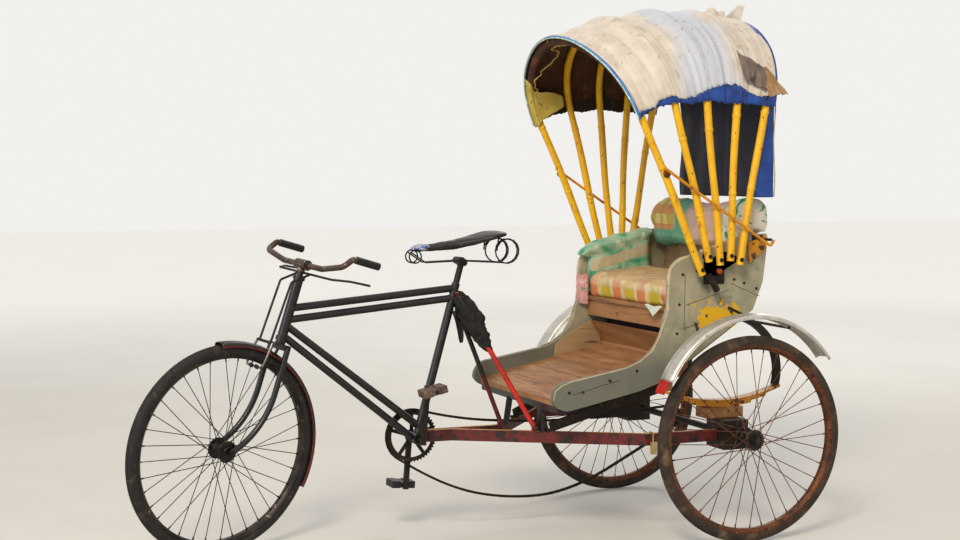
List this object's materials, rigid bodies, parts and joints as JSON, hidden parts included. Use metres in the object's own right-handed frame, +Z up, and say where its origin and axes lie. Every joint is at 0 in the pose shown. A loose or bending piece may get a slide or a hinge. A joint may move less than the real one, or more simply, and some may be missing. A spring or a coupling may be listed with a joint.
{
  "type": "pedal rickshaw",
  "caption": "Three-wheeled pedal rickshaw with a bicycle front end, open wooden passenger body, padded seat and a folding hood on bamboo arches.",
  "frame": {"origin": "on the ground under the middle of the whole", "axes": "+X the vehicle's left, -Y forward, +Z up"},
  "size_m": [1.132, 2.4157, 1.8604],
  "materials": {
    "black_paint": "worn gloss black paint",
    "red_paint": "worn red paint over angle iron",
    "yellow_paint_steel": "worn yellow paint",
    "grey_green_wood": "painted board, worn",
    "bare_wood": "bare worn boards",
    "bamboo": "yellow painted bamboo",
    "black_leather": "cracked saddle leather",
    "dark_steel": "dull greasy steel",
    "bright_steel": "dulled plating",
    "mudguard_metal": "dulled sheet, scratched",
    "tyre_rubber": "dusty rubber",
    "grip_rubber": "worn rubber",
    "red_rubber": "faded rubber flap",
    "seat_fabric": "checked cotton cover",
    "green_fabric": "green printed cover",
    "rag_cloth": "dirty dark cloth",
    "hood_cloth": "weathered tarpaulin",
    "curtain_cloth": "blue tarpaulin"
  },
  "bodies": {
    "chassis": {"armrest": "green_fabric", "axle_bearings": "dark_steel", "back_board": "grey_green_wood", "backrest": "green_fabric", "body_braces": "dark_steel", "chain": "dark_steel", "floor_boards": "bare_wood", "floor_sills": "bare_wood", "frame_struts": "red_paint", "frame_tubes": "black_paint", "front_support": "red_paint", "head_tube": "black_paint", "hood_brackets": "dark_steel", "leaf_springs": "yellow_paint_steel", "mudguard_stays": "dark_steel", "mudguards_rear": "mudguard_metal", "padlock": "bright_steel", "rag_bundle": "rag_cloth", "rail_left": "red_paint", "rail_right": "red_paint", "rear_body_irons": "dark_steel", "reflector_flaps": "red_rubber", "saddle": "black_leather", "saddle_springs": "dark_steel", "seat_box": "bare_wood", "seat_cushion": "seat_fabric", "seat_post": "dark_steel", "seat_tube": "black_paint", "side_panel_left": "grey_green_wood", "side_panel_right": "grey_green_wood", "spring_blocks": "bare_wood", "tool_box": "dark_steel"},
    "steering": {"fork": "black_paint", "handlebar": "bright_steel", "grips": "grip_rubber", "brake_linkage": "bright_steel", "mudguard_front": "mudguard_metal"},
    "front_wheel": {"wheel_front": "dark_steel", "tyre_front": "tyre_rubber"},
    "rear_axle": {"rear_axle": "dark_steel", "wheel_rear_left": "dark_steel", "tyre_rear_left": "tyre_rubber"},
    "right_wheel": {"wheel_rear_right": "dark_steel", "tyre_rear_right": "tyre_rubber"},
    "cranks": {"crank_set": "dark_steel"},
    "left_pedal": {"pedal_left": "grip_rubber"},
    "right_pedal": {"pedal_right": "grip_rubber"},
    "hood_arch_5": {"hood_arch_5": "bamboo", "rear_curtain": "curtain_cloth"},
    "hood_arch_4": {"hood_arch_4": "bamboo"},
    "hood_arch_3": {"hood_arch_3": "bamboo", "canopy": "hood_cloth"},
    "hood_arch_2": {"hood_arch_2": "bamboo"},
    "hood_arch_1": {"hood_arch_1": "bamboo"},
    "hood_stays": {"hood_stays": "yellow_paint_steel"}
  },
  "joints": [
    {"name": "steering", "type": "hinge", "parent": "chassis", "child": "steering", "pos_m": [0, -0.6236, 0.81769], "axis": [0, 0.2924, 0.9563], "range_deg": [-65, 25]},
    {"name": "front_wheel_spin", "type": "hinge", "parent": "steering", "child": "front_wheel", "pos_m": [0.03625, -0.86937, 0.35451], "axis": [0.9397, 0.3271, -0.1], "continuous": true},
    {"name": "rear_axle_spin", "type": "hinge", "parent": "chassis", "child": "rear_axle", "pos_m": [0, 0.8524, 0.35619], "axis": [1, 0, 0], "continuous": true},
    {"name": "right_wheel_spin", "type": "hinge", "parent": "chassis", "child": "right_wheel", "pos_m": [-0.51, 0.8524, 0.35619], "axis": [1, 0, 0], "continuous": true},
    {"name": "crank_spin", "type": "hinge", "parent": "chassis", "child": "cranks", "pos_m": [0, -0.17661, 0.34569], "axis": [1, 0, 0], "continuous": true},
    {"name": "left_pedal_spin", "type": "hinge", "parent": "cranks", "child": "left_pedal", "pos_m": [0.122, -0.16248, 0.52514], "axis": [1, 0, 0], "continuous": true},
    {"name": "right_pedal_spin", "type": "hinge", "parent": "cranks", "child": "right_pedal", "pos_m": [-0.122, -0.19073, 0.16625], "axis": [1, 0, 0], "continuous": true},
    {"name": "hood_fold", "type": "hinge", "parent": "chassis", "child": "hood_arch_5", "pos_m": [0, 0.79039, 0.92669], "axis": [1, 0, 0], "range_deg": [-21.9, 0], "deforming": ["canopy", "rear_curtain"]},
    {"name": "hood_arch_4_fold", "type": "hinge", "parent": "hood_arch_5", "child": "hood_arch_4", "pos_m": [0, 0.79039, 0.92669], "axis": [1, 0, 0], "range_deg": [-7.31, 0]},
    {"name": "hood_arch_3_fold", "type": "hinge", "parent": "hood_arch_4", "child": "hood_arch_3", "pos_m": [0, 0.79039, 0.92669], "axis": [1, 0, 0], "range_deg": [-7.61, 0]},
    {"name": "hood_arch_2_fold", "type": "hinge", "parent": "hood_arch_3", "child": "hood_arch_2", "pos_m": [0, 0.79039, 0.92669], "axis": [1, 0, 0], "range_deg": [-8.11, 0]},
    {"name": "hood_arch_1_fold", "type": "hinge", "parent": "hood_arch_2", "child": "hood_arch_1", "pos_m": [0, 0.79039, 0.92669], "axis": [1, 0, 0], "range_deg": [-9.11, 0]},
    {"name": "hood_stay_swing", "type": "hinge", "parent": "hood_arch_1", "child": "hood_stays", "pos_m": [0, 0.55826, 1.2809], "axis": [1, 0, 0], "range_deg": [-17.2, 0]}
  ],
  "couplings": [
    {"joint": "hood_arch_4_fold", "follows": "hood_fold", "ratio": 0.33333},
    {"joint": "hood_arch_3_fold", "follows": "hood_fold", "ratio": 0.34703},
    {"joint": "hood_arch_2_fold", "follows": "hood_fold", "ratio": 0.36986},
    {"joint": "hood_arch_1_fold", "follows": "hood_fold", "ratio": 0.41552},
    {"joint": "hood_stay_swing", "follows": "hood_fold", "ratio": 0.78498}
  ]
}
